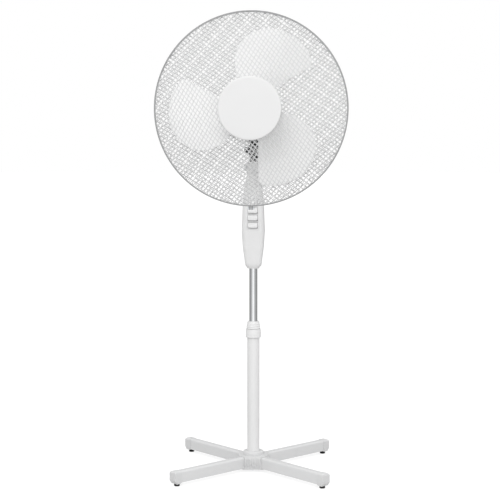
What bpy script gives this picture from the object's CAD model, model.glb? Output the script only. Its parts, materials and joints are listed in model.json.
"""Pedestal fan with a cross base, a telescopic column, a key-operated box and an oscillating head.

The CAD model is loaded as a fixed frame in metres, with the floor at z = 0 under the column and the
front of the fan towards -Y. Every sub-assembly is a class that makes or carries over its pieces, gives
each one a finish and lets it ride on its CAD body.
"""

import json
import logging
import math
from dataclasses import dataclass, field
from enum import StrEnum, auto
from typing import Callable

import bmesh
import bpy
import numpy as np
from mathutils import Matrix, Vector

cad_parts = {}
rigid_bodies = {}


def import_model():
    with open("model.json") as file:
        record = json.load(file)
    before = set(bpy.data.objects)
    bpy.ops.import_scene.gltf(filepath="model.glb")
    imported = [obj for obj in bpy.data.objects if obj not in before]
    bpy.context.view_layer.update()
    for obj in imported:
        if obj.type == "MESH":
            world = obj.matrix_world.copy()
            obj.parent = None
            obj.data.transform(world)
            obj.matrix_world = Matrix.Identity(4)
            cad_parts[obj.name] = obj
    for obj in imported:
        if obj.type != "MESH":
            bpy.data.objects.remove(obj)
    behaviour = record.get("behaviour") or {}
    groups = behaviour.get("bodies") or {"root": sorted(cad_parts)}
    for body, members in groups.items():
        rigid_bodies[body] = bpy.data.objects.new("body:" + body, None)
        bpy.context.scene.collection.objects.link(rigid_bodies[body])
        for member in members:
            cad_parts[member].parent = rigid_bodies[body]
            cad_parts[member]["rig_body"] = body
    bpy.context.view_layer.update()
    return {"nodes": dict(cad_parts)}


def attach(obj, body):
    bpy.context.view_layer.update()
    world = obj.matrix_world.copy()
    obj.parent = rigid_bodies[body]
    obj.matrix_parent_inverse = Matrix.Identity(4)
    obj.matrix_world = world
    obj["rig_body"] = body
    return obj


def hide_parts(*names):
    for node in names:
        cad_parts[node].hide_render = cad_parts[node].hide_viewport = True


LOG = logging.getLogger("pedestal_fan")
TURN = 2.0 * math.pi
MM = 0.001

RING_Y = -0.100  # Plane of the guard's rim.
AXIS_Z = 0.841  # Height of the fan's axis.
NOISE_SPAN = (0.3, 0.7)  # Where the values of a noise mostly lie.
WELD = 0.000005  # Points of a new mesh that are closer than this become one.
CAD_WELD = 0.00001  # The same for the loose triangles of a CAD node.

Piece = bpy.types.Object
Material = bpy.types.Material
Socket = bpy.types.NodeSocket
Tree = bpy.types.NodeTree
Placer = Callable[[np.ndarray, np.ndarray, np.ndarray], np.ndarray]
Colour = tuple[float, float, float]
Point = tuple[float, float, float]
Value = float | tuple[float, ...] | Socket


class Slot(StrEnum):
    """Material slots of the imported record, each the lower case of its name."""

    WHITE_PLASTIC = auto()
    WHITE_STEEL = auto()
    BASE_STEEL = auto()
    BASE_PLASTIC = auto()
    GUARD_STEEL = auto()
    RING_STEEL = auto()
    DISC_PLASTIC = auto()
    BLADE_PLASTIC = auto()
    CHROMED_STEEL = auto()
    BLACK_PLASTIC = auto()
    FOOT_RUBBER = auto()
    ZINC_STEEL = auto()
    LAMINATION = auto()
    CAST_ALUMINIUM = auto()
    BLACK_CASTING = auto()
    COPPER_WIRE = auto()
    BRONZE = auto()
    NYLON = auto()


# ---------- finishes ----------


def empty_tree(owner: bpy.types.World | Material) -> Tree:
    """Clears a node tree.

    Args:
        owner: World or material that has the tree.

    Returns:
        The empty tree.
    """
    owner.use_nodes = True
    owner.node_tree.nodes.clear()
    return owner.node_tree


def set_inputs(node: bpy.types.Node, **values: Value) -> None:
    """Sets inputs of a node: a socket is linked, anything else becomes the input's own value.

    Args:
        node: The node.
        values: What each input gets, with _ for a space in its name.
    """
    for key, value in values.items():
        target = node.inputs[key.replace("_", " ")]
        if isinstance(value, Socket):
            node.id_data.links.new(value, target)
        else:
            target.default_value = value


def add_node(tree: Tree, kind: str, **values: Value) -> bpy.types.Node:
    """Adds a node to a tree.

    Args:
        tree: The tree.
        kind: Type of the node.
        values: Its inputs, as for set_inputs.

    Returns:
        The new node.
    """
    node = tree.nodes.new(kind)
    set_inputs(node, **values)
    return node


def colour_ramp(tree: Tree, factor: Socket, *stops: tuple[float, Colour]) -> Socket:
    """Adds a ramp that runs through its stops as the factor grows.

    Args:
        tree: Tree that it is added to.
        factor: Where the ramp is read.
        stops: Place and colour of each stop, in order.

    Returns:
        The colour.
    """
    ramp = add_node(tree, "ShaderNodeValToRGB", Fac=factor)
    first, last = ramp.color_ramp.elements
    first.position, last.position = stops[0][0], stops[-1][0]
    for place, _ in stops[1:-1]:
        ramp.color_ramp.elements.new(place)
    for stop, (_, colour) in zip(ramp.color_ramp.elements, stops):
        stop.color = (*colour, 1.0)
    return ramp.outputs["Color"]


class Graph:
    """A material's node graph with a principled shader, which the finishes wire up."""

    def __init__(self, name: str) -> None:
        """Makes an empty material with a shader and an output.

        Args:
            name: Name of the new material.
        """
        self.material = bpy.data.materials.new(name)
        self.tree = empty_tree(self.material)
        self.shader = add_node(self.tree, "ShaderNodeBsdfPrincipled")
        add_node(self.tree, "ShaderNodeOutputMaterial", Surface=self.shader.outputs["BSDF"])
        self.position = self.add("ShaderNodeTexCoord", "Object")

    def add(self, kind: str, output: str, **values: Value) -> Socket:
        """The output of that name of a new node."""
        return add_node(self.tree, kind, **values).outputs[output]

    def stretched(self, centre: Point, scale: Point) -> Socket:
        """Object coordinates with the centre as their origin, scaled along each axis."""
        start = [-c * s for c, s in zip(centre, scale)]
        return self.add("ShaderNodeMapping", "Vector", Vector=self.position, Location=start, Scale=scale)

    def noise(self, scale: float, detail: float, vector: Socket | None = None) -> Socket:
        """Smooth noise around 0.5, of so many cells to the metre and so many finer layers. It is read
        at the object's own coordinates if no others are given."""
        at = vector or self.position
        return self.add("ShaderNodeTexNoise", "Fac", Vector=at, Scale=scale, Detail=detail)

    def span(self, source: Socket, low: float, high: float) -> Socket:
        """Maps the span of a noise to low..high."""
        ends = dict(From_Min=NOISE_SPAN[0], From_Max=NOISE_SPAN[1], To_Min=low, To_Max=high)
        return self.add("ShaderNodeMapRange", "Result", Value=source, **ends)

    def tint(self, factor: Socket, dark: Colour, light: Colour) -> Socket:
        """A colour that goes from dark to light over the span of a noise."""
        return colour_ramp(self.tree, factor, (NOISE_SPAN[0], dark), (NOISE_SPAN[1], light))

    def bumps(self, *layers: tuple[Socket, float]) -> None:
        """Adds bump layers to the shader's normal, one on top of the other.

        Args:
            layers: Height of each layer, from 0 to 1, and its depth in metres.
        """
        normal: dict[str, Socket] = {}
        for height, depth in layers:
            relief = self.add("ShaderNodeBump", "Normal", Height=height, Distance=depth, **normal)
            normal = {"Normal": relief}
        set_inputs(self.shader, **normal)


def grey(level: float) -> tuple[float, ...]:
    """A neutral colour with full alpha."""
    return (level, level, level, 1.0)


def shade(colour: Colour, factor: float) -> Colour:
    """The colour times a factor, at most 1 in each channel."""
    return tuple(min(1.0, c * factor) for c in colour)


@dataclass(frozen=True)
class Finish:
    """What every finish has: a slot of the record, a colour and a roughness."""

    slot: Slot
    colour: Colour
    roughness: float

    def material(self) -> Material:
        """Makes the finish's material the first time it is asked for.

        Returns:
            The material.
        """
        if self not in PAINTED:
            graph = Graph(f"{self.slot}_finish")
            self.paint(graph)
            PAINTED[self] = graph.material
        return PAINTED[self]

    def vary_tone(self, graph: Graph, source: Socket, low: float, high: float) -> None:
        """Lets the colour go from low to high times its own, as the source does."""
        tone = graph.tint(source, shade(self.colour, low), shade(self.colour, high))
        set_inputs(graph.shader, Base_Color=tone)

    def vary_gloss(self, graph: Graph, source: Socket, less: float, more: float) -> None:
        """Lets the roughness go from less below to more above its own, as the source does."""
        gloss = graph.span(source, self.roughness - less, self.roughness + more)
        set_inputs(graph.shader, Roughness=gloss)

    def paint(self, graph: Graph) -> None:
        """Wires up a graph.

        Args:
            graph: A new graph with the finish's material.
        """
        raise NotImplementedError


PAINTED: dict[Finish, Material] = {}  # The materials made so far.


@dataclass(frozen=True)
class Moulded(Finish):
    """Injection-moulded plastic: fine spark grain, slow changes of tone and gloss."""

    grain: float = 1400.0
    depth: float = 0.000012
    mottle: float = 0.015
    sheen: float = 0.0

    def paint(self, graph: Graph) -> None:
        """Colour and gloss follow slow noise; two noises of different size make the grain."""
        self.vary_tone(graph, graph.noise(14.0, 3.0), 1 - self.mottle, 1 + self.mottle)
        self.vary_gloss(graph, graph.noise(60.0, 4.0), 0.05, 0.05)
        fine, broad = graph.noise(self.grain, 2.0), graph.noise(self.grain / 9, 1.0)
        graph.bumps((fine, self.depth), (broad, self.depth * 1.5))
        set_inputs(graph.shader, IOR=1.5, Coat_Weight=self.sheen, Coat_Roughness=0.12)


@dataclass(frozen=True)
class Painted(Finish):
    """Baked paint on steel: orange peel, faint speckle and a thin clear gloss."""

    peel: float = 420.0
    depth: float = 0.00002

    def paint(self, graph: Graph) -> None:
        """Orange peel is one broad and one finer noise; the colour carries a faint speckle."""
        self.vary_tone(graph, graph.noise(900.0, 2.0), 0.975, 1.015)
        self.vary_gloss(graph, graph.noise(35.0, 4.0), 0.06, 0.06)
        broad, fine = graph.noise(self.peel, 1.0), graph.noise(self.peel * 3, 1.0)
        graph.bumps((broad, self.depth), (fine, self.depth * 0.3))
        set_inputs(graph.shader, IOR=1.5, Coat_Weight=0.3, Coat_Roughness=0.15)


@dataclass(frozen=True)
class Plated(Finish):
    """Bright plating over a drawn tube, with hairlines that run along it."""

    def paint(self, graph: Graph) -> None:
        """Noise stretched along z gives the hairlines in gloss, tone and relief."""
        lines = graph.noise(1.0, 3.0, graph.stretched((0, 0, 0), (2200.0, 2200.0, 12.0)))
        self.vary_tone(graph, graph.noise(30.0, 4.0), 0.96, 1.02)
        gloss = graph.span(lines, self.roughness * 0.7, self.roughness * 1.4)
        graph.bumps((lines, 0.0000015))
        set_inputs(graph.shader, Metallic=1.0, Roughness=gloss)


@dataclass(frozen=True)
class Metal(Finish):
    """Bare or zinc-coated metal with patches of different brightness and a fine tooth."""

    patch: float = 180.0
    tooth: float = 1600.0
    depth: float = 0.00001

    def paint(self, graph: Graph) -> None:
        """Patches are a detailed noise in colour and roughness; the tooth is a fine bump."""
        patches = graph.noise(self.patch, 5.0)
        self.vary_tone(graph, patches, 0.86, 1.08)
        self.vary_gloss(graph, patches, 0.08, 0.1)
        graph.bumps((graph.noise(self.tooth, 2.0), self.depth))
        set_inputs(graph.shader, Metallic=1.0)


@dataclass(frozen=True)
class Rubber(Finish):
    """Matt black rubber with dust in its pores."""

    def paint(self, graph: Graph) -> None:
        """Dust lightens the colour where a fine noise is high."""
        pores = graph.noise(1100.0, 4.0)
        self.vary_tone(graph, pores, 1.0, 2.2)
        self.vary_gloss(graph, pores, 0.08, 0.08)
        graph.bumps((pores, 0.00004))
        set_inputs(graph.shader, Specular_IOR_Level=0.35)


@dataclass(frozen=True)
class Banded(Finish):
    """Stacked sheets or wound wire: parallel bands across the fan's axis or round it."""

    pitch: float = 0.0005
    rings: bool = False
    metallic: float = 1.0

    def paint(self, graph: Graph) -> None:
        """A wave of the given pitch along y, or round the fan's axis, drives tone and relief."""
        wave = add_node(graph.tree, "ShaderNodeTexWave", Scale=1.0 / (self.pitch * 20.0), Distortion=0.6)
        wave.wave_type = "RINGS" if self.rings else "BANDS"
        wave.rings_direction = wave.bands_direction = "Y"
        set_inputs(wave, Vector=graph.stretched((0.0, 0.0, AXIS_Z), (1.0, 1.0, 1.0)))
        band = wave.outputs["Fac"]
        self.vary_tone(graph, band, 0.6, 1.0)
        self.vary_gloss(graph, graph.noise(200.0, 3.0), 0.05, 0.08)
        graph.bumps((band, self.pitch * 0.15))
        set_inputs(graph.shader, Metallic=self.metallic)


WHITE = Moulded(Slot.WHITE_PLASTIC, (0.80, 0.80, 0.80), 0.34, sheen=0.15)
WHITE_STEEL = Painted(Slot.WHITE_STEEL, (0.79, 0.79, 0.79), 0.35)
BASE_STEEL = Painted(Slot.BASE_STEEL, (0.71, 0.712, 0.715), 0.36)
BASE_PLASTIC = Moulded(Slot.BASE_PLASTIC, (0.68, 0.682, 0.685), 0.42)
GUARD_STEEL = Painted(Slot.GUARD_STEEL, (0.72, 0.722, 0.725), 0.35, depth=0.000006)
REAR_STEEL = Painted(Slot.GUARD_STEEL, (0.58, 0.582, 0.585), 0.4, depth=0.000006)
RING_STEEL = Painted(Slot.RING_STEEL, (0.31, 0.313, 0.316), 0.36)
DISC = Moulded(Slot.DISC_PLASTIC, (0.765, 0.765, 0.765), 0.34, depth=0.000006, mottle=0.008, sheen=0.2)
BLADE = Moulded(Slot.BLADE_PLASTIC, (0.85, 0.85, 0.85), 0.34, depth=0.000005)
CHROME = Plated(Slot.CHROMED_STEEL, (0.76, 0.77, 0.78), 0.09)
BLACK = Moulded(Slot.BLACK_PLASTIC, (0.010, 0.010, 0.011), 0.45, depth=0.00002, mottle=0.1)
RUBBER = Rubber(Slot.FOOT_RUBBER, (0.012, 0.012, 0.012), 0.75)
ZINC = Metal(Slot.ZINC_STEEL, (0.62, 0.64, 0.66), 0.34)
LAMINATION = Banded(Slot.LAMINATION, (0.36, 0.37, 0.38), 0.45)
CAST = Metal(Slot.CAST_ALUMINIUM, (0.30, 0.31, 0.32), 0.5, patch=90.0, tooth=700.0, depth=0.00005)
BLACK_CAST = Painted(Slot.BLACK_CASTING, (0.010, 0.010, 0.011), 0.45, peel=700.0, depth=0.00004)
COPPER = Banded(Slot.COPPER_WIRE, (0.72, 0.33, 0.16), 0.34, pitch=0.0006, rings=True)
BRONZE = Metal(Slot.BRONZE, (0.60, 0.42, 0.20), 0.36)
NYLON = Moulded(Slot.NYLON, (0.74, 0.73, 0.69), 0.4, mottle=0.03)

# ---------- places and meshes ----------


def on_column(x: np.ndarray, y: np.ndarray, z: np.ndarray) -> np.ndarray:
    """Points in the frame, from millimetres round the column."""
    return np.stack(np.broadcast_arrays(x, y, z), axis=-1) * MM


def on_fan_axis(x: np.ndarray, y: np.ndarray, w: np.ndarray) -> np.ndarray:
    """Points in the frame, from millimetres round the fan's axis, with w towards the front."""
    return np.stack(np.broadcast_arrays(x * MM, RING_Y - w * MM, AXIS_Z + y * MM), axis=-1)


@dataclass
class Shape:
    """A mesh put together from grids of points, which are joined where they meet."""

    points: list[np.ndarray] = field(default_factory=list)
    quads: list[np.ndarray] = field(default_factory=list)
    count: int = 0

    def grid(
        self, p: np.ndarray, wrap_rows: bool = False, wrap_cols: bool = False, keep: np.ndarray | None = None
    ) -> "Shape":
        """Adds one grid, or a stack of grids that aren't joined to each other.

        Args:
            p: Points, (rows, cols, 3) or (stack, rows, cols, 3).
            wrap_rows: Whether the last row joins the first.
            wrap_cols: Whether the last column joins the first.
            keep: Which cells have a face, (rows, cols) without the wrapped ones; all if left out.

        Returns:
            The shape itself.
        """
        stack = p if p.ndim == 4 else p[None]
        layers, rows, cols = stack.shape[:3]
        i = np.arange(rows if wrap_rows else rows - 1)[:, None]
        j = np.arange(cols if wrap_cols else cols - 1)[None, :]
        up, on = (i + 1) % rows, (j + 1) % cols
        cell = np.stack(np.broadcast_arrays(i * cols + j, i * cols + on, up * cols + on, up * cols + j), -1)
        cell = cell[keep] if keep is not None else cell.reshape(-1, 4)
        offset = self.count + np.arange(layers)[:, None, None] * rows * cols
        self.quads.append((cell[None] + offset).reshape(-1, 4))
        self.points.append(stack.reshape(-1, 3))
        self.count += stack.size // 3
        return self

    def build(self, name: str, sharp: float = 35.0) -> Piece:
        """Makes the object: points that meet become one, faces turn outwards, and edges sharper
        than the angle stay sharp.

        Args:
            name: Name of the object.
            sharp: Angle between faces in degrees past which an edge is sharp.

        Returns:
            The new object, linked to the scene.
        """
        mesh = bpy.data.meshes.new(name)
        mesh.from_pydata(np.concatenate(self.points), [], np.concatenate(self.quads))
        return finish_mesh(name, mesh, WELD, sharp)


def add_object(name: str, data: bpy.types.ID) -> Piece:
    """Adds an object to the scene.

    Args:
        name: Name of the object.
        data: What it holds.

    Returns:
        The new object.
    """
    made = bpy.data.objects.new(name, data)
    bpy.context.scene.collection.objects.link(made)
    return made


def finish_mesh(name: str, mesh: bpy.types.Mesh, merge: float, sharp: float) -> Piece:
    """Joins doubles, drops collapsed faces, turns faces outwards and sets smooth shading.

    Args:
        name: Name of the object.
        mesh: The mesh to finish.
        merge: Distance under which points are joined, in metres.
        sharp: Angle in degrees past which an edge is sharp.

    Returns:
        A new object that holds the mesh.
    """
    work = bmesh.new()
    work.from_mesh(mesh)
    bmesh.ops.remove_doubles(work, verts=work.verts, dist=merge)
    bmesh.ops.dissolve_degenerate(work, edges=work.edges, dist=merge / 4)
    bmesh.ops.delete(work, geom=[v for v in work.verts if not v.link_faces], context="VERTS")
    bmesh.ops.recalc_face_normals(work, faces=work.faces)
    work.to_mesh(mesh)
    work.free()
    mesh.shade_smooth()
    mesh.set_sharp_from_angle(angle=math.radians(sharp))
    return add_object(name, mesh)


def lathe(shape: Shape, profile: np.ndarray, place: Placer, steps: int = 96, closed: bool = False) -> Shape:
    """Turns a profile: the point is (r cos a, r sin a, h) as a goes once round.

    Args:
        shape: Shape that the surface is added to.
        profile: Rows of (r, h) in millimetres.
        place: Puts local points into the frame.
        steps: Number of steps round.
        closed: Whether the profile's last point joins its first.

    Returns:
        The shape.
    """
    a = np.linspace(0.0, TURN, steps, endpoint=False)[None, :]
    r, h = profile[:, 0, None], profile[:, 1, None]
    return shape.grid(place(r * np.cos(a), r * np.sin(a), h), wrap_rows=closed, wrap_cols=True)


def rounded(
    points: list[tuple[float, ...]], radius: float, steps: int = 4, closed: bool = True
) -> np.ndarray:
    """Rounds the corners of an outline by the curve (1-s)^2 A + 2 s (1-s) P + s^2 C, where P is the
    corner and A and C lie at the radius, or 0.45 of the side, before and after it.

    Args:
        points: Corners in millimetres, (x, y) or (x, y, radius) where a corner has its own radius.
        radius: Radius of the other corners in millimetres.
        steps: Steps in each curve.
        closed: Whether the outline is closed; an open one keeps its two ends.

    Returns:
        The rounded outline in millimetres, (n, 2).
    """
    p = np.array([q[:2] for q in points], float)
    reach = np.array([q[2] if len(q) > 2 else radius for q in points], float)[:, None]
    if not closed:
        reach[[0, -1]] = 0.0
    ends = []
    for other in (np.roll(p, 1, 0), np.roll(p, -1, 0)):
        side = other - p
        length = np.maximum(np.linalg.norm(side, axis=1, keepdims=True), 1e-9)
        ends.append((p + side / length * np.minimum(reach, 0.45 * length))[:, None])
    s = np.linspace(0.0, 1.0, steps + 1)[None, :, None]
    curve = (1 - s) ** 2 * ends[0] + 2 * s * (1 - s) * p[:, None] + s**2 * ends[1]
    return curve.reshape(-1, 2)


def unit(v: np.ndarray) -> np.ndarray:
    """The vectors divided by their length."""
    return v / np.maximum(np.linalg.norm(v, axis=-1, keepdims=True), 1e-12)


def tube(path: np.ndarray, across: np.ndarray, radius: np.ndarray | float, sides: int = 8) -> np.ndarray:
    """Points of round bars along paths: path + radius (cos a . across + sin a . (along x across)).

    Args:
        path: Centre lines, (..., n, 3).
        across: Directions roughly at right angles to them, (..., n, 3).
        radius: Radius, or radii along the path, (..., n).
        sides: Sides of the bar.

    Returns:
        Points, (..., n, sides, 3).
    """
    along = np.gradient(path, axis=-2)
    second = unit(np.cross(along, across))
    first = unit(np.cross(second, along))
    a = np.arange(sides) * TURN / sides
    r = np.asarray(radius)[..., None, None] if np.ndim(radius) else radius
    turn = first[..., None, :] * np.cos(a)[:, None] + second[..., None, :] * np.sin(a)[:, None]
    return path[..., None, :] + r * turn


def bevel(piece: Piece, width: float) -> None:
    """Breaks edges sharper than 32 degrees with a narrow rounded bevel.

    Args:
        piece: The piece.
        width: Width of the bevel in metres.
    """
    made = piece.modifiers.new("broken_edges", "BEVEL")
    made.width = width
    made.segments = 2
    made.limit_method = "ANGLE"
    made.angle_limit = math.radians(32.0)
    made.harden_normals = True


def wall(piece: Piece, thickness: float) -> Piece:
    """Gives an open skin its thickness, inwards.

    Args:
        piece: The skin.
        thickness: Thickness in metres.

    Returns:
        The piece.
    """
    made = piece.modifiers.new("wall", "SOLIDIFY")
    made.thickness = thickness
    made.offset = -1.0
    return piece


@dataclass
class Assembly:
    """A sub-assembly of the fan, with the CAD nodes of the frame at hand."""

    nodes: dict[str, Piece]

    def dress(self, piece: Piece, finish: Finish) -> None:
        """Gives a piece its finish and its slot, and reports it.

        Args:
            piece: A new piece or a CAD node.
            finish: Its finish.
        """
        piece.data.materials.clear()
        piece.data.materials.append(finish.material())
        LOG.info("%s: %s, %d faces", piece.name, finish.slot, len(piece.data.polygons))

    def turn(self, node: str, profile: np.ndarray, finish: Finish, steps: int = 96) -> None:
        """Turns a closed profile round the column's axis into the piece that stands for a node."""
        self.place(lathe(Shape(), profile, on_column, steps, True).build(f"{node}_finished"), finish, node)

    def place(self, piece: Piece, finish: Finish, *stands_for: str, body: str | None = None) -> None:
        """Gives a piece its finish and slot, and lets it ride on the body of the nodes it stands for.

        Args:
            piece: The new piece.
            finish: Its finish.
            stands_for: CAD nodes that it replaces.
            body: Body to ride on, that of the first node if left out.
        """
        self.dress(piece, finish)
        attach(piece, body or self.nodes[stands_for[0]]["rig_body"])
        if stands_for:
            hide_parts(*stands_for)

    def carry(self, finish: Finish, edge: float, *names: str, sharp: float = 30.0) -> None:
        """Carries CAD nodes over: a copy with its triangles joined, its curved faces smooth and its
        edges broken stands for each node.

        Args:
            finish: Their finish.
            edge: Width of the broken edge in millimetres.
            names: Names of the CAD nodes.
            sharp: Angle in degrees past which an edge stays sharp.
        """
        for name in names:
            piece = finish_mesh(f"{name}_finished", self.nodes[name].data.copy(), CAD_WELD, sharp)
            bevel(piece, edge * MM)
            self.place(piece, finish, name)

    def coat(self, finish: Finish, *names: str) -> None:
        """Gives CAD nodes that stay as they are a finish of their own."""
        for name in names:
            self.dress(self.nodes[name], finish)

    def build(self) -> None:
        """Makes and places every piece of the sub-assembly."""
        raise NotImplementedError


# ---------- base and column ----------


@dataclass
class Base(Assembly):
    """The cross of four leg tubes with its hub, end caps and rubber feet."""

    hub_top: float = 36.05

    def build(self) -> None:
        """Carries the steel parts over and turns the collar."""
        for corner in ("front_left", "front_right", "rear_left", "rear_right"):
            self.carry(BASE_STEEL, 0.25, f"leg_{corner}")
            self.carry(BASE_PLASTIC, 0.7, f"end_cap_{corner}")
        self.carry(BASE_PLASTIC, 0.3, "base_hub")
        self.carry(BASE_STEEL, 0.4, "hub_plate")
        self.carry(RUBBER, 0.4, "rubber_feet")
        self.carry(ZINC, 0.2, "hub_screws", "column_bolt")
        self.turn("base_collar", self.collar(), BASE_PLASTIC)

    def collar(self) -> np.ndarray:
        """The cover at the foot of the column, with a soft shoulder and a fine groove.

        Returns:
            Its profile.
        """
        shoulder = [(14.45, 0), (23.6, 0), (23.6, 8.5, 5)]
        groove = [(16.8, 8.5, 0.4), (16.5, 7.9, 0.3), (15.2, 7.9, 0.3), (15.0, 8.5, 0.3), (14.45, 8.5)]
        return rounded(shoulder + groove, 0.2) + (0.0, self.hub_top)


@dataclass
class Column(Assembly):
    """The white lower tube, the clamp with its ribbed nut, and the chromed tube that slides."""

    # Outside radius, inside radius, lower and upper end.
    lower_tube: tuple[float, ...] = (14.25, 13.05, 16.0, 330.0)
    upper_tube: tuple[float, ...] = (9.5, 8.3, 160.1, 548.0)
    nut_z: float = 333.3
    nut_top: float = 351.0
    rib_start: float = 2.4
    rib_pitch: float = 5.2
    rib_height: float = 0.75
    rib_width: float = 0.8
    rib_fade: float = 1.5

    def build(self) -> None:
        """Turns the tubes, the sleeve and the nut, and dresses what is inside them."""
        self.turn("lower_tube", self.pipe(*self.lower_tube), WHITE_STEEL, 128)
        self.turn("upper_tube", self.pipe(*self.upper_tube), CHROME, 128)
        sleeve = [(14.3, 313), (17.6, 313), (17.85, 314.6), (17, 332.8), (14.3, 332.8)]
        self.turn("tube_sleeve", rounded(sleeve, 0.6), WHITE)
        self.place(self.nut(), WHITE, "clamp_nut")
        self.coat(WHITE, "collet")
        self.coat(BLACK, "tube_guide")

    def pipe(self, outer: float, inner: float, low: float, high: float) -> np.ndarray:
        """Profile of a tube with rounded edges, from its two radii and its two ends."""
        return rounded([(outer, low), (outer, high), (inner, high), (inner, low)], 0.35)

    def nut(self) -> Piece:
        """The clamp nut. Its outside radius follows the cone, plus a rib that climbs like a thread:
        height exp(-(d / width)^2), where d is the distance along z to the nearest turn.

        Returns:
            The piece.
        """
        z = np.linspace(self.nut_z, self.nut_top, 96)
        cone = np.interp(z, [333.3, 334.0, 342.0, 349.6, 351.0], [15.2, 15.8, 14.9, 13.6, 12.8])
        a = np.linspace(0.0, TURN, 128, endpoint=False)[None, :]
        phase = z[:, None] - self.nut_z - self.rib_start - self.rib_pitch * a / TURN
        d = (phase + self.rib_pitch / 2) % self.rib_pitch - self.rib_pitch / 2
        below, above = z - self.nut_z, self.nut_top - 1.0 - z
        fade = np.clip(below / self.rib_fade, 0, 1) * np.clip(above / self.rib_fade, 0, 1)
        r = cone[:, None] + self.rib_height * fade[:, None] * np.exp(-((d / self.rib_width) ** 2))
        bore = [(12.8, 351), (9.95, 351), (9.95, 347.6), (11.6, 347.4), (12.9, 333.3)]
        inner = rounded(bore, 0.4, closed=False)
        r = np.concatenate([r, np.broadcast_to(inner[:, :1], (len(inner), r.shape[1]))])
        h = np.concatenate([z, inner[:, 1]])[:, None]
        shape = Shape().grid(on_column(r * np.cos(a), r * np.sin(a), h), wrap_rows=True, wrap_cols=True)
        return shape.build("clamp_nut_finished", sharp=50.0)


# ---------- control box ----------


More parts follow.
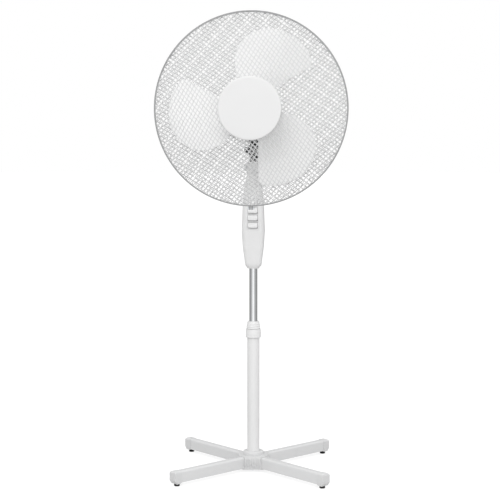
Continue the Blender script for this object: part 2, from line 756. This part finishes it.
@dataclass
class ControlBox(Assembly):
    """The moulded control box in two shells, with four keys in its front."""

    box_z: float = 475.0
    key_z: float = 577.0
    key_pitch: float = 17.0
    key_w: float = 22.0
    key_h: float = 12.5
    key_front: float = -33.5
    key_back: float = -16.0
    key_lean: float = 4.3
    key_dish: float = 0.5
    gap: float = 0.4  # Gap beside and above each key.
    slot: float = 1.0  # Gap under each key.
    crown: float = 0.7
    seam: float = -0.05  # Depth of the plane where the two shells meet.
    wall: float = 2.2
    tube_r: float = 9.65
    hinge_z: float = 708.0
    # Height above the underside, half width, front and corner radius.
    levels: tuple[tuple[float, ...], ...] = (
        (0, 12, -10, 7), (6, 18.3, -16, 8), (50, 23.8, -23, 9), (86, 26, -26, 9.5),
        (142, 24, -28, 9.5), (190, 20, -26, 9), (216, 15, -20, 8), (220, 13, -17, 7),
    )

    def build(self) -> None:
        """Lofts the front shell and the keys, and carries the rest over."""
        self.place(self.front_shell(), WHITE, "control_front_shell")
        self.carry(WHITE, 0.4, "control_rear_shell", sharp=24.0)
        self.place(self.hood(), WHITE, body="mast")
        for i in range(4):
            self.place(self.key(i), WHITE, f"key_{i}")
        self.carry(ZINC, 0.2, "shell_screws")
        self.carry(BLACK, 0.4, "cable_gland")
        self.carry(ZINC, 0.4, "tilt_bolt")
        self.coat(BLACK, "switch_block", "run_capacitor")

    def section(self, z: np.ndarray) -> tuple[np.ndarray, ...]:
        """Half width, front and corner radius at heights above the underside. Each is the mean of
        the straight lines between the levels over 5 mm up and down, which rounds the kinks.

        Args:
            z: Heights in millimetres.

        Returns:
            Three columns, (n, 1) each.
        """
        table = np.array(self.levels)
        near = np.clip(z[:, None] + np.array([-5.0, -2.5, 0.0, 2.5, 5.0]), 0.0, table[-1, 0])
        weight = np.array([1, 2, 3, 2, 1]) / 9.0
        return tuple((np.interp(near, table[:, 0], table[:, c]) @ weight)[:, None] for c in (1, 2, 3))

    def front_shell(self) -> Piece:
        """The front half: outlines lofted up the box, closed at both ends, with openings for the
        keys left out of the grid, and a wall turned inwards from the skin.

        Each outline runs from the seam along the side, round the corner and over the slightly
        crowned front, and is mirrored.

        Returns:
            The piece.
        """
        keys = self.key_z - self.box_z + np.arange(4) * self.key_pitch
        low, high = keys - self.key_h / 2 - self.slot, keys + self.key_h / 2 + self.gap
        z = np.unique(np.concatenate([np.linspace(0, 220, 56), low, high]))
        half, front, r = self.section(z)
        window = np.minimum(self.key_w / 2 + self.gap, 0.9 * (half - r))
        t, turn = np.linspace(0, 1, 5)[None, :], np.linspace(0, math.pi / 2, 9)[None, 1:]
        u, flat = t[:, 1:], half - r
        side, across = self.seam + (front + r - self.seam) * t, flat + (window - half + r) * u
        x = np.concatenate([half + 0 * t, flat + r * np.cos(turn), across, window * (1 - u)], 1)
        y = np.concatenate([side, front + r - r * np.sin(turn), front + 0 * u, front + 0 * u], 1)
        y = y - self.crown * np.clip(1 - (x / flat) ** 2, 0, 1)
        x, y = np.concatenate([x, -x[:, -2::-1]], 1), np.concatenate([y, y[:, -2::-1]], 1)
        open_z = (z[1:] + z[:-1])[:, None] / 2
        open_rows = ((open_z > low) & (open_z < high)).any(1)[:, None]
        open_cols = np.abs((x[1:, 1:] + x[:-1, :-1]) / 2) < window[1:]
        skin = on_column(x, y, z[:, None] + self.box_z)
        shape = Shape().grid(skin, keep=~(open_rows & open_cols))
        for row, end in ((0, self.tube_mouth(x.shape[1])), (-1, np.zeros((2, x.shape[1])))):
            f = np.array([0.0, 0.35, 1.0])[:, None]
            cap_x, cap_y = x[row] * (1 - f) + end[0] * f, y[row] * (1 - f) + end[1] * f
            shape.grid(on_column(cap_x, cap_y, z[row] + self.box_z))
        return wall(shape.build("control_front_shell_finished", sharp=40.0), self.wall * MM)

    def hood(self) -> Piece:
        """The upright tongue before the tilt hinge: a rounded plate with softened edges.

        Returns:
            The piece.
        """
        outline = rounded([(-12.5, 693.5), (12.5, 693.5), (12.5, 722.5, 5), (-12.5, 722.5, 5)], 0.4, 6)
        inset = np.array([12.5, 5.0, 0.9, 0.25, 0.0, 0.0, 0.25, 0.9, 5.0, 12.5])[:, None] / 12.5
        y = np.array([-9.0, -9.0, -9.0, -8.8, -8.2, -7.3, -6.7, -6.5, -6.5, -6.5])[:, None]
        x, z = outline[:, 0] * (1 - inset), self.hinge_z + (outline[:, 1] - self.hinge_z) * (1 - inset)
        return Shape().grid(on_column(x, y, z), wrap_cols=True).build("hinge_hood", sharp=60.0)

    def tube_mouth(self, count: int) -> np.ndarray:
        """Half circle round the tube in the underside, seam to seam, as x and y in millimetres."""
        a = np.linspace(0, math.pi, count)
        return np.stack([self.tube_r * np.cos(a), -self.tube_r * np.sin(a)])

    def key(self, i: int) -> Piece:
        """A key cap: the outline's rings step inwards over a rounded rim onto a face that leans back
        in its upper half and is dished for the finger.

        Args:
            i: Number of the key, 0 at the bottom.

        Returns:
            The piece.
        """
        w, h = self.key_w / 2, self.key_h / 2
        outline = rounded([(-w, -h, 3), (w, -h, 3), (w, h, 0.8), (-w, h, 0.8)], 1.0, 6)
        inset = np.array([0, 0, 0, 0.12, 0.45, 1.0, 2.0, 3.6, 5.2, h])[:, None]
        back = np.array([0, 0, 1.3, 0.6, 0.18, 0.0, 0.0, 0.0, 0.0, 0.0])[:, None]
        x = outline[:, 0] * (1 - inset / w)
        z = outline[:, 1] * (1 - inset / h)
        x[-1], z[0], x[0] = 0.35 * x[-1], 0 * z[0], 0 * x[0]
        lean = self.key_lean * np.clip((z + 2) / (h + 2), 0, 1) ** 1.3
        y = self.key_front + lean + self.key_dish * (1 - (x / w) ** 2) * (1 - (z / h) ** 2) + back
        y[:2] = self.key_back
        p = on_column(x, y, z + self.key_z + i * self.key_pitch)
        return Shape().grid(p, wrap_cols=True).build(f"key_{i}_finished", sharp=60.0)


# ---------- head ----------


@dataclass
class TiltJoint(Assembly):
    """The black bracket that tilts in the box's ears, and the casting that swings in it."""

    def build(self) -> None:
        """Carries the bracket, the link and the casting over."""
        self.carry(BLACK, 0.8, "tilt_bracket")
        self.carry(ZINC, 0.3, "link_arm")
        self.carry(BLACK_CAST, 0.8, "pivot_casting")
        self.coat(ZINC, "pivot_clip")


@dataclass
class Motor(Assembly):
    """The motor's shells, its core and windings, and the gearbox that swings the head."""

    def build(self) -> None:
        """Carries the outside over and dresses the inside."""
        self.carry(WHITE, 0.4, "motor_front_shell", "motor_rear_shell")
        self.carry(WHITE, 0.6, "oscillation_knob")
        self.carry(ZINC, 0.3, "crank")
        self.coat(CAST, "front_bell")
        self.coat(LAMINATION, "stator_core", "rotor")
        self.coat(COPPER, "stator_windings")
        self.coat(BRONZE, "motor_bearings", "worm")
        self.coat(NYLON, "gearbox_case", "gearbox_cover", "worm_wheel", "crank_gear")
        self.coat(ZINC, "motor_shaft")


@dataclass
class Impeller(Assembly):
    """Three broad paddles on a capped hub, held by a nut."""

    tip: float = 186.0
    root: float = 47.0  # Inside the wall of the hub.
    first: float = 77.5  # Direction of the first paddle in degrees, as all angles here.
    seat: float = -4.0  # Place of the blade along the fan's axis.
    thickness: float = 2.2
    front_offset: float = 15.1  # Distance of the straight front edge from a radius,
    front_turn: float = 47.5  # and the angle that this radius is turned back by.
    corner: float = 26.0  # Depth of the rounded corner at the tip.
    tip_turn: float = -12.0  # Where the front and the back edge meet.
    spread: float = 48.0  # Angle of the back edge's quarter ellipse,
    spread_r: float = 50.0  # and the radius at which it is widest.
    trim: float = 28.0  # Angle that the back edge gives up at the hub,
    trim_r: float = 80.0  # and the radius from which it does so.
    twist: float = 0.5  # Rise along the axis for each degree across the paddle.
    belly: float = 3.0
    edge: float = 1.3  # Width of the round edge.

    def build(self) -> None:
        """Makes the blade and carries its nut over."""
        self.place(self.blade(), BLADE, "blade")
        self.carry(WHITE, 0.6, "blade_nut")

    def paddles(self) -> np.ndarray:
        """Points of the three paddles, their upper and lower skins one after the other.

        At radius r a paddle spans the angles from lead(r) to trail(r). The front edge is the line
        asin(offset / r) and ends in a rounded corner; the back edge is a quarter of an ellipse, drawn
        in at the hub. The skin rises by the twist, with a belly sin(pi v) between its edges. Its half
        thickness is that of a round edge, sqrt(d (2 - d)), with d the distance to the edge in units
        of the edge's width.

        Returns:
            Points, (6, rows, cols, 3).
        """
        r = self.root + (self.tip - 0.3 - self.root) * np.sin(np.linspace(0, math.pi / 2, 56))[:, None]
        v = (1 - np.cos(np.linspace(0, math.pi, 44)))[None, :] / 2
        corner = np.clip((r - self.tip + self.corner) / self.corner, 0, 1)
        reach = np.minimum(r, self.tip - self.corner)
        straight = np.degrees(np.arcsin(self.front_offset / reach)) - self.front_turn
        lead = self.tip_turn + (straight - self.tip_turn) * np.sqrt(1 - corner**2)
        oval = np.clip((r - self.spread_r) / (self.tip - self.spread_r), -1, 1)
        drawn_in = self.trim * (np.clip(self.trim_r - r, 0, None) / (self.trim_r - self.root)) ** 2
        trail = self.tip_turn + self.spread * np.sqrt(1 - oval**2) - drawn_in
        angle = lead + (trail - lead) * v
        height = self.twist * angle + self.belly * np.sin(math.pi * v)
        mid = np.stack([r * np.cos(np.radians(angle)), r * np.sin(np.radians(angle)), height], -1)
        normal = unit(np.cross(np.gradient(mid, axis=1), np.gradient(mid, axis=0)))
        side = np.radians(trail - lead) * r * np.minimum(v, 1 - v)
        rim = np.minimum.reduce([side, self.tip - 0.3 - r + 0 * v, r - self.root + 0 * v])
        d = np.clip(rim / self.edge, 0, 1)
        half = (self.thickness / 2 * np.sqrt(d * (2 - d)))[..., None]
        skins = np.stack([mid + normal * half, mid - normal * half])
        a = np.radians(self.first + 120.0 * np.arange(3))[:, None, None, None]
        x = skins[None, ..., 0] * np.cos(a) - skins[None, ..., 1] * np.sin(a)
        y = skins[None, ..., 0] * np.sin(a) + skins[None, ..., 1] * np.cos(a)
        w = skins[None, ..., 2] + self.seat + 0 * a
        return on_fan_axis(x, y, w).reshape(-1, *mid.shape)

    def blade(self) -> Piece:
        """The paddles with the hub turned in one piece with them.

        Returns:
            The piece.
        """
        outside = [(4.05, 14), (40, 14, 5), (46, 11.5, 4), (48, 6, 4), (48, -20)]
        inside = [(46, -20), (46, 5, 3), (39.5, 12, 3), (9, 12, 2), (9, -17), (4.05, -17)]
        profile = rounded(outside + inside, 0.5) + (0.0, self.seat)
        shape = Shape().grid(self.paddles())
        return lathe(shape, profile, on_fan_axis, closed=True).build("blade_finished", sharp=40.0)


@dataclass
class Guard(Assembly):
    """Two woven wire domes, closed by a ring, with a plain disc in the middle of the front."""

    radius: float = 217.0
    pitch: float = 8.0
    wire: float = 2.0
    front_angles: tuple[float, float] = (61.5, -45.0)
    rear_angles: tuple[float, float] = (40.5, -31.0)
    front_rise: float = 57.0
    rear_rise: float = 67.0
    rear_hole: float = 58.0
    rim_w: float = 2.4  # Distance of the wires' ends from the rim's plane.
    reach: float = 214.9  # Radius at which the wires end.
    weave: float = 0.75  # How far a wire waves to each side,
    lift: float = 0.8  # and how far the middle of the weave stands off the sphere.
    step: float = 2.4  # Length of a wire's faces.
    disc_top: float = 66.2

    def build(self) -> None:
        """Weaves the domes, makes the ring and the disc, and carries the fasteners over."""
        front = self.dome("front_guard_finished", self.front_rise, 0.0, 1.0, self.front_angles)
        self.place(front, GUARD_STEEL, "front_guard")
        rear = self.dome("rear_guard_finished", self.rear_rise, self.rear_hole, -1.0, self.rear_angles)
        self.place(rear, REAR_STEEL, "rear_guard")
        for woven in (front, rear):  # Wires this fine throw no shadow that shows.
            woven.visible_shadow = woven.visible_diffuse = False
        plate = rounded([(20.5, -69.4), (66, -69.4), (66, -67.9), (20.5, -67.9)], 0.3)
        seat = lathe(Shape(), plate, on_fan_axis, closed=True).build("rear_guard_plate")
        self.place(seat, REAR_STEEL, body="motor")
        self.place(self.ring(), RING_STEEL, "guard_ring")
        self.place(self.disc(), DISC, "centre_disc")
        self.carry(WHITE, 0.6, "guard_nut")
        self.carry(ZINC, 0.2, "ring_clip_screw", "disc_screw")

    def dome(self, name: str, rise: float, hole: float, side: float, angles: tuple[float, float]) -> Piece:
        """Weaves one dome from two families of wires, closed by a rim wire.

        A wire lies in a plane parallel to the fan's axis, at the offset c from it. The dome is part
        of a sphere: w = rim + sqrt(R^2 - x^2 - y^2) - sqrt(R^2 - reach^2). Along the sphere's normal
        the wire waves by cos(pi (q + i)), where q counts the crossing wires and i is its own number,
        so that it passes over one and under the next.

        Args:
            name: Name of the piece.
            rise: Height of the dome in millimetres.
            hole: Radius of the hole in its middle, 0 for none.
            side: 1 for the front dome, -1 for the rear one.
            angles: Directions of the two families in degrees, seen from the front.

        Returns:
            The piece.
        """
        big = (self.reach**2 + rise**2) / (2 * rise)
        most = math.floor(self.reach / self.pitch)
        number = np.arange(-most, most)[:, None]
        c = (number + 0.5) * self.pitch
        outer = np.sqrt(self.reach**2 - c**2)
        inner = np.sqrt(np.clip(hole**2 - c**2, 0, None))
        t = np.arange(-self.reach, self.reach + self.step, self.step)[None, :]
        inside = (np.abs(t) < outer) & (np.abs(t) >= inner)
        at = np.where(t < 0, -1, 1) * np.clip(np.abs(t), inner, outer)
        shape, origin = Shape(), on_fan_axis(0.0, 0.0, 0.0)
        for family, (a, b) in ((1.0, np.radians(angles)), (-1.0, np.radians(angles[::-1]))):
            x, y = at * math.cos(a) - c * math.sin(a), at * math.sin(a) + c * math.cos(a)
            q = (y * math.cos(b) - x * math.sin(b)) / self.pitch - 0.5
            rise_w = np.sqrt(big**2 - x**2 - y**2)
            normal = np.stack([x, y, rise_w], -1) / big
            wave = self.lift + family * self.weave * np.cos(math.pi * (q + number))
            w = self.rim_w + rise_w - math.sqrt(big**2 - self.reach**2)
            local = np.stack([x, y, w], -1) + normal * wave[..., None]
            path = on_fan_axis(local[..., 0], local[..., 1], local[..., 2] * side)
            across = on_fan_axis(normal[..., 0], normal[..., 1], normal[..., 2] * side) - origin
            shape.grid(tube(path, across, inside * self.wire / 2 * MM, 5), wrap_cols=True)
        at_rim = (self.radius - 2.7, 1.4 * side)
        bead = rounded([(1.2, 0), (0, 1.2), (-1.2, 0), (0, -1.2)], 0.9, 3) + at_rim
        lathe(shape, bead, on_fan_axis, 160, True)
        return shape.build(name, sharp=80.0)

    def ring(self) -> Piece:
        """The clamping ring: a C-shaped band, open at the bottom between two tabs.

        Returns:
            The piece.
        """
        r = self.radius
        lip, inner = r - 3, r - 0.8
        outside = [(lip, -6), (r, -6, 1.1), (r, 6, 1.1), (lip, 6)]
        band = rounded(outside + [(lip, 5.2), (inner, 5.2), (inner, -5.2), (lip, -5.2)], 0.3)
        gap = 1.0 / r
        a = np.linspace(-TURN / 4 + gap, 3 * TURN / 4 - gap, 240)[None, :]
        p = on_fan_axis(band[:, :1] * np.cos(a), band[:, :1] * np.sin(a), band[:, 1:])
        ends = [np.broadcast_to(q.mean(0, keepdims=True), q.shape) for q in (p[:, :1], p[:, -1:])]
        shape = Shape().grid(np.concatenate([ends[0], p, ends[1]], 1), wrap_rows=True)
        tab = rounded([(-r - 8, -5), (-r + 0.4, -5), (-r + 0.4, 5), (-r - 8, 5)], 2.0)
        for s in (-1, 1):
            f = np.array([0.0, 1.0, 1.0, 0.0])[:, None]
            x = np.array([1.0, 1.0, 4.0, 4.0])[:, None] * s
            mid = tab.mean(0)
            y, w = mid[0] + (tab[:, 0] - mid[0]) * f, mid[1] + (tab[:, 1] - mid[1]) * f
            shape.grid(on_fan_axis(x, y, w), wrap_cols=True)
        return shape.build("guard_ring_finished", sharp=40.0)

    def disc(self) -> Piece:
        """The moulded disc: a slightly crowned face with a rounded rim and a hollow back.

        Returns:
            The piece.
        """
        top = self.disc_top
        front = [(0, top), (30, top - 0.05, 8), (66, top - 0.5, 2), (70, top - 1.2, 3.4)]
        back = [(70, top - 9.1), (66, top - 8.8), (35, top - 4.9, 4), (0, top - 3.4)]
        profile = rounded(front + back, 0.5, 8, closed=False)
        return lathe(Shape(), profile, on_fan_axis, 160).build("centre_disc_finished", sharp=50.0)


# ---------- floor, light and camera ----------


def vector_math(tree: Tree, operation: str, source: Socket, other: Point = (0.0, 0.0, 0.0)) -> Socket:
    """Works out a vector from one or two vectors.

    Args:
        tree: Tree that the node is added to.
        operation: What it does.
        source: The first vector.
        other: The second one, where the operation takes two.

    Returns:
        The result.
    """
    node = add_node(tree, "ShaderNodeVectorMath", Vector=source)
    node.operation = operation
    node.inputs[1].default_value = other
    return node.outputs[0]


@dataclass(frozen=True)
class Studio:
    """A pale floor, a plain bright room, soft lamps and the camera."""

    distance: float = 3.0
    height: float = 0.765
    azimuth: float = 3.1
    pitch: float = 4.72
    yaw: float = 0.15
    lens: float = 93.2
    room: float = 1.0
    sheen: float = 1.3
    # What gloss shows of the room, from in front (0) to behind (1).
    reflected: tuple[tuple[float, float], ...] = (
        (0.0, 1.0), (0.02, 0.85), (0.06, 0.58), (0.22, 0.38), (0.5, 0.27), (1.0, 0.28),
    )
    floor_reach: float = 30.0
    floor_pale: float = 0.5
    floor_shade: float = 0.3
    floor_glow: float = 0.8
    floor_ahead: Point = (0.0, -0.35, 0.0)
    # Name, place and power of each lamp.
    lamps: tuple[tuple[str, Point, float], ...] = (
        ("key_lamp", (-0.7, -2.8, 2.8), 29.0), ("fill_lamp", (1.6, -2.6, 1.4), 12.0),
    )
    lamp_size: float = 1.8
    aim: Point = (0.0, -0.05, 0.6)

    def camera(self) -> None:
        """Sets the camera a little to the right of the fan's front, tilted slightly down."""
        data = bpy.data.cameras.new("camera")
        data.lens = self.lens
        data.sensor_width = 36.0
        camera = add_object("camera", data)
        a = math.radians(self.azimuth)
        camera.location = (self.distance * math.sin(a), -self.distance * math.cos(a), self.height)
        camera.rotation_euler = (math.radians(90 - self.pitch), 0.0, a + math.radians(self.yaw))
        bpy.context.scene.camera = camera

    def gloss(self, tree: Tree, vector: Socket) -> Socket:
        """Brightness of the room as gloss shows it: full in front, falling off to the sides, by the
        y of the level direction.

        Args:
            tree: Tree that the nodes are added to.
            vector: Direction, or a place on the floor.

        Returns:
            The brightness as a colour.
        """
        level = vector_math(tree, "MULTIPLY", vector, (1.0, 1.0, 0.0))
        split = add_node(tree, "ShaderNodeSeparateXYZ", Vector=vector_math(tree, "NORMALIZE", level))
        move = add_node(tree, "ShaderNodeMapRange", Value=split.outputs["Y"], From_Min=-1.0)
        stops = ((place, (value,) * 3) for place, value in self.reflected)
        return colour_ramp(tree, move.outputs["Result"], *stops)

    def by_ray(self, tree: Tree, other: Socket, glossy: Socket, seen: Socket) -> Socket:
        """Chooses a shader by the kind of ray.

        Args:
            tree: Tree that the nodes are added to.
            other: What diffuse rays and shadows meet.
            glossy: What gloss shows.
            seen: What the camera sees, straight or through something clear.

        Returns:
            The chosen shader.
        """
        path, source = add_node(tree, "ShaderNodeLightPath"), other
        for key, kind in (("Is Glossy Ray", glossy), ("Is Camera Ray", seen), ("Is Transmission Ray", seen)):
            mix = add_node(tree, "ShaderNodeMixShader")
            for i, end in enumerate((path.outputs[key], source, kind)):
                tree.links.new(end, mix.inputs[i])
            source = mix.outputs[0]
        return source

    def world(self) -> None:
        """White to the camera, even pale light for diffuse surfaces, and the shaded room for gloss."""
        world = bpy.data.worlds.new("room")
        bpy.context.scene.world = world
        tree = empty_tree(world)
        direction = add_node(tree, "ShaderNodeTexCoord").outputs["Generated"]
        shaded = self.gloss(tree, direction)
        glossy = add_node(tree, "ShaderNodeBackground", Color=shaded, Strength=self.sheen)
        plain = add_node(tree, "ShaderNodeBackground", Color=grey(1.0), Strength=self.room)
        seen = add_node(tree, "ShaderNodeBackground", Color=grey(1.0))
        chosen = self.by_ray(tree, *(kind.outputs[0] for kind in (plain, glossy, seen)))
        add_node(tree, "ShaderNodeOutputWorld", Surface=chosen)

    def floor(self) -> None:
        """A pale floor: white to the camera but for the object's soft shadow, the shaded room to
        gloss, and plain pale to everything else."""
        mesh = bpy.data.meshes.new("floor")
        s = self.floor_reach
        mesh.from_pydata([(-s, -s, 0), (s, -s, 0), (s, s, 0), (-s, s, 0)], [], [(0, 1, 2, 3)])
        floor = add_object("floor", mesh)
        material = bpy.data.materials.new("floor")
        tree = empty_tree(material)
        place = add_node(tree, "ShaderNodeTexCoord").outputs["Object"]
        plain = add_node(tree, "ShaderNodeBsdfDiffuse", Color=grey(self.floor_pale))
        under = add_node(tree, "ShaderNodeBsdfDiffuse", Color=grey(self.floor_shade))
        glow = add_node(tree, "ShaderNodeEmission", Strength=self.floor_glow)
        ahead = vector_math(tree, "ADD", place, self.floor_ahead)  # Where the base mirrors the floor.
        sheen = add_node(tree, "ShaderNodeEmission", Color=self.gloss(tree, ahead), Strength=self.sheen)
        lit = add_node(tree, "ShaderNodeAddShader")
        for source, target in zip((under, glow), lit.inputs):
            tree.links.new(source.outputs[0], target)
        chosen = self.by_ray(tree, *(kind.outputs[0] for kind in (plain, sheen, lit)))
        add_node(tree, "ShaderNodeOutputMaterial", Surface=chosen)
        mesh.materials.append(material)

    def lamp(self, name: str, place: Point, power: float) -> None:
        """A square soft lamp that faces the middle of the fan.

        Args:
            name: Name of the lamp.
            place: Where it stands.
            power: Power in watts.
        """
        data = bpy.data.lights.new(name, "AREA")
        data.size = self.lamp_size
        data.energy = power
        lamp = add_object(name, data)
        lamp.location = place
        aim = Vector(self.aim) - Vector(place)
        lamp.rotation_euler = aim.to_track_quat("-Z", "Y").to_euler()

    def build(self) -> None:
        """Sets up the room, the floor, the lamps and the camera."""
        bpy.context.scene.view_settings.view_transform = "Standard"
        self.world()
        self.floor()
        for name, place, power in self.lamps:
            self.lamp(name, place, power)
        self.camera()


def main() -> None:
    """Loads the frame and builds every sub-assembly in order."""
    logging.basicConfig(level=logging.INFO, format="%(message)s")
    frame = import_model()
    for kind in (Base, Column, ControlBox, TiltJoint, Motor, Impeller, Guard):
        LOG.info("-- %s", kind.__name__)
        kind(frame["nodes"]).build()
    Studio().build()


if __name__ == "__main__":
    main()
